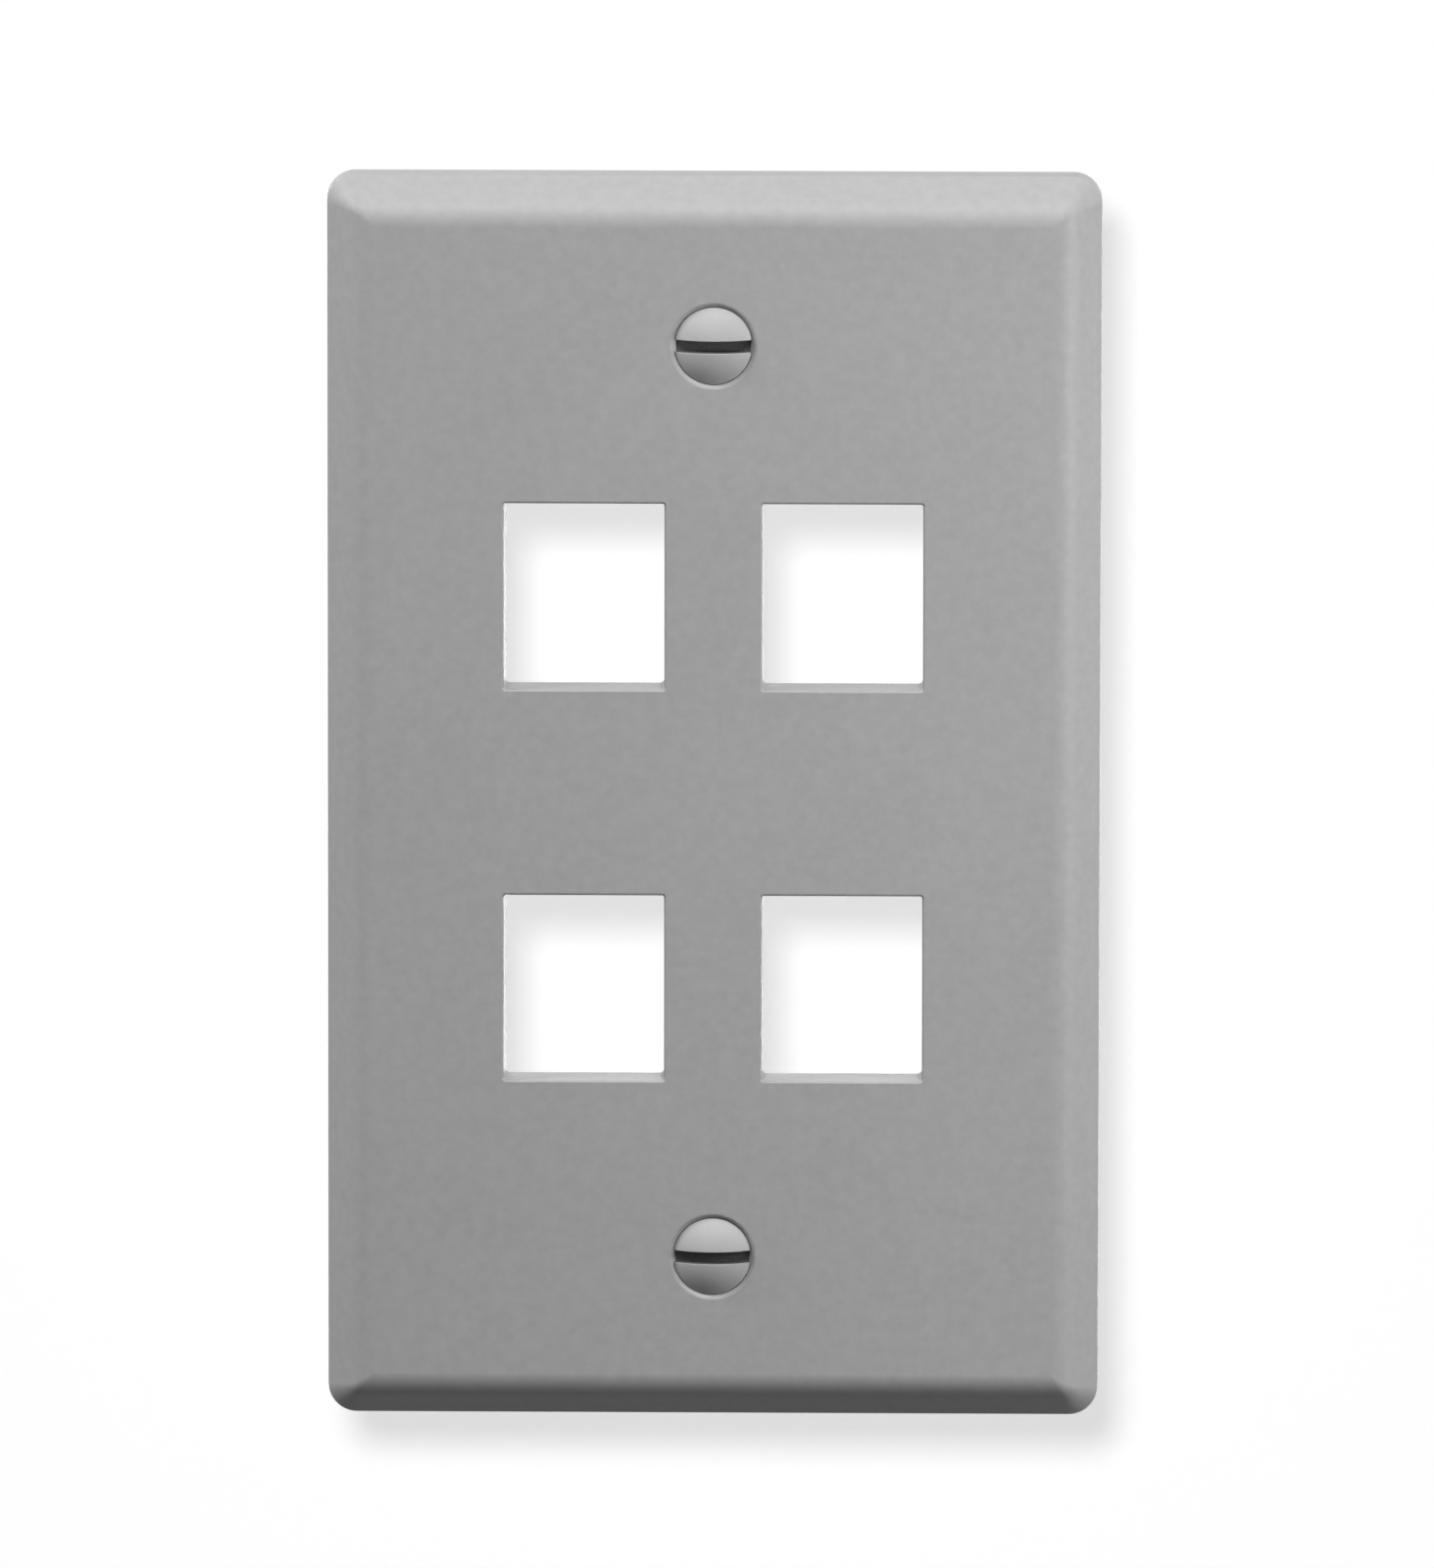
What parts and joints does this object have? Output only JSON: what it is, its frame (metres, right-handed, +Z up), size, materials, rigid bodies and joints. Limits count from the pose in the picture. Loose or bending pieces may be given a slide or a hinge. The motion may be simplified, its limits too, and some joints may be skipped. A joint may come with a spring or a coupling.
{
  "type": "keystone faceplate",
  "caption": "Rectangular wall plate with a sloped border, square snap-in windows for keystone jacks in framed receptacles, and countersunk slotted screws at top and bottom.",
  "frame": {"origin": "middle of the rear edge of the rim, in the plane that lies on the wall, half way between the two screws", "axes": "+Z up along the plate's long side, +Y into the wall along the screws, +X to the right as seen from the front; the front face looks along -Y"},
  "size_m": [0.0698, 0.0266, 0.1136],
  "materials": {
    "plate_plastic": "fine matte texture, as moulded",
    "painted_steel": "satin paint in the plate's colour on the head"
  },
  "bodies": {
    "root": {"faceplate": "plate_plastic", "mounting_screws": "painted_steel"}
  },
  "joints": []
}
